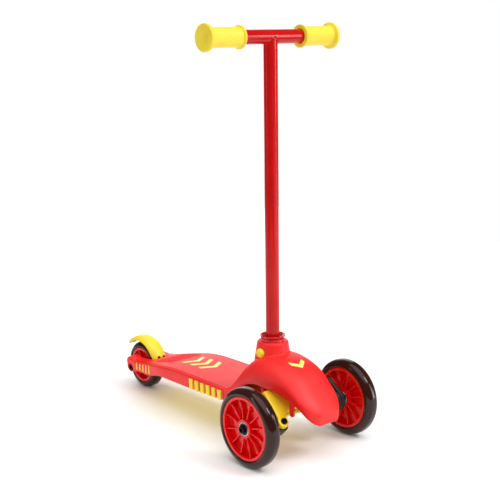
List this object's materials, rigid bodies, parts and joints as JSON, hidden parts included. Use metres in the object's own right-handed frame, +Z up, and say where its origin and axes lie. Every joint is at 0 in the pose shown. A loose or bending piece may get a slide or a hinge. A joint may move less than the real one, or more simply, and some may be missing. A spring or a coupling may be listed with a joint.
{
  "type": "three wheel kids scooter",
  "caption": "Child's lean-to-steer scooter with two front wheels, one rear wheel, a T handlebar in a hooded nose and a sprung rear fender brake.",
  "frame": {"origin": "on the floor under the middle of the scooter's bounding box", "axes": "+Z up along the post, +X towards the rider's left, the front points to -Y"},
  "size_m": [0.262, 0.5404, 0.673],
  "materials": {
    "red_shell": "matt moulded red",
    "red_gloss": "gloss red",
    "red_painted_tube": "gloss red paint on steel tube",
    "red_hub": "gloss moulded red",
    "yellow_plastic": "satin lemon yellow",
    "yellow_grip": "soft lemon yellow",
    "black_plastic": "satin black",
    "black_steel": "blackened steel",
    "smoke_tyre": "glossy smoky polyurethane",
    "steel": "bright steel"
  },
  "bodies": {
    "chassis": {"nose_housing": "red_shell", "deck_top": "red_shell", "under_tray": "yellow_plastic", "front_yoke": "yellow_plastic", "handle_socket": "red_gloss", "button_spring": "steel", "yoke_screw_1": "black_steel", "yoke_screw_2": "black_steel", "yoke_screw_3": "black_steel", "yoke_screw_4": "black_steel", "yoke_screw_5": "black_steel", "yoke_screw_6": "black_steel", "tray_screw_1": "black_steel", "tray_screw_2": "black_steel", "tray_screw_3": "black_steel", "tray_screw_4": "black_steel", "pivot_bolt_left": "black_steel", "pivot_nut_left": "steel", "pivot_bolt_right": "black_steel", "pivot_nut_right": "steel", "centring_spring_left": "steel", "centring_spring_right": "steel", "rear_axle_bolt": "black_steel", "rear_axle_nut": "black_steel", "brake_pin": "steel", "brake_spring": "steel"},
    "button": {"release_button": "yellow_plastic"},
    "handlebar": {"t_bar": "red_painted_tube", "grip_left": "yellow_grip", "grip_right": "yellow_grip", "snap_spring": "steel"},
    "steer_left": {"knuckle_left": "black_plastic", "front_axle_bolt_left": "black_steel"},
    "steer_right": {"knuckle_right": "black_plastic", "front_axle_bolt_right": "black_steel"},
    "link": {"tie_rod": "black_plastic", "tie_pin_left": "steel", "tie_pin_right": "steel"},
    "wheel_left": {"front_tyre_left": "smoke_tyre", "front_hub_left": "red_hub", "front_spacer_left": "steel", "front_bearing_left_outer": "steel", "front_bearing_left_inner": "steel"},
    "wheel_right": {"front_tyre_right": "smoke_tyre", "front_hub_right": "red_hub", "front_spacer_right": "steel", "front_bearing_right_outer": "steel", "front_bearing_right_inner": "steel"},
    "wheel_rear": {"rear_tyre": "smoke_tyre", "rear_hub": "red_hub", "rear_spacer": "steel", "rear_bearing_left": "steel", "rear_bearing_right": "steel"},
    "brake": {"rear_fender": "yellow_plastic", "brake_bracket": "black_plastic", "brake_screw_left": "black_steel", "brake_screw_right": "black_steel"}
  },
  "joints": [
    {"name": "steer_left_pivot", "type": "hinge", "parent": "chassis", "child": "steer_left", "pos_m": [0.052, -0.21164, 0.0529], "axis": [0, -0.7071, 0.7071], "range_deg": [-18, 18], "stiffness_Nm_per_rad": 12, "deforming": ["centring_spring_left", "centring_spring_right"]},
    {"name": "steer_right_pivot", "type": "hinge", "parent": "chassis", "child": "steer_right", "pos_m": [-0.052, -0.21164, 0.0529], "axis": [0, -0.7071, 0.7071], "range_deg": [-18, 18]},
    {"name": "tie_rod_pivot", "type": "hinge", "parent": "steer_left", "child": "link", "pos_m": [0.052, -0.18336, 0.08118], "axis": [0, -0.7071, 0.7071], "range_deg": [-18, 18]},
    {"name": "wheel_left_spin", "type": "hinge", "parent": "steer_left", "child": "wheel_left", "pos_m": [0.1065, -0.20424, 0.0635], "axis": [1, 0, 0], "continuous": true},
    {"name": "wheel_right_spin", "type": "hinge", "parent": "steer_right", "child": "wheel_right", "pos_m": [-0.1065, -0.20424, 0.0635], "axis": [1, 0, 0], "continuous": true},
    {"name": "wheel_rear_spin", "type": "hinge", "parent": "chassis", "child": "wheel_rear", "pos_m": [0, 0.22076, 0.0435], "axis": [1, 0, 0], "continuous": true},
    {"name": "brake_press", "type": "hinge", "parent": "chassis", "child": "brake", "pos_m": [0, 0.17476, 0.058], "axis": [-1, 0, 0], "range_deg": [0, 10], "stiffness_Nm_per_rad": 0.3, "springref_deg": -28.65, "deforming": ["brake_spring"]},
    {"name": "button_press", "type": "slide", "parent": "chassis", "child": "button", "axis": [1, 0, 0], "range_m": [0, 0.0035], "stiffness_N_per_m": 400, "springref_m": -0.003, "deforming": ["button_spring"]},
    {"name": "handlebar_lift", "type": "slide", "parent": "chassis", "child": "handlebar", "axis": [0, 0, 1], "range_m": [0, 0.075], "deforming": ["snap_spring"]}
  ],
  "couplings": [
    {"joint": "steer_right_pivot", "follows": "steer_left_pivot", "ratio": 1},
    {"joint": "tie_rod_pivot", "follows": "steer_left_pivot", "ratio": -1}
  ]
}
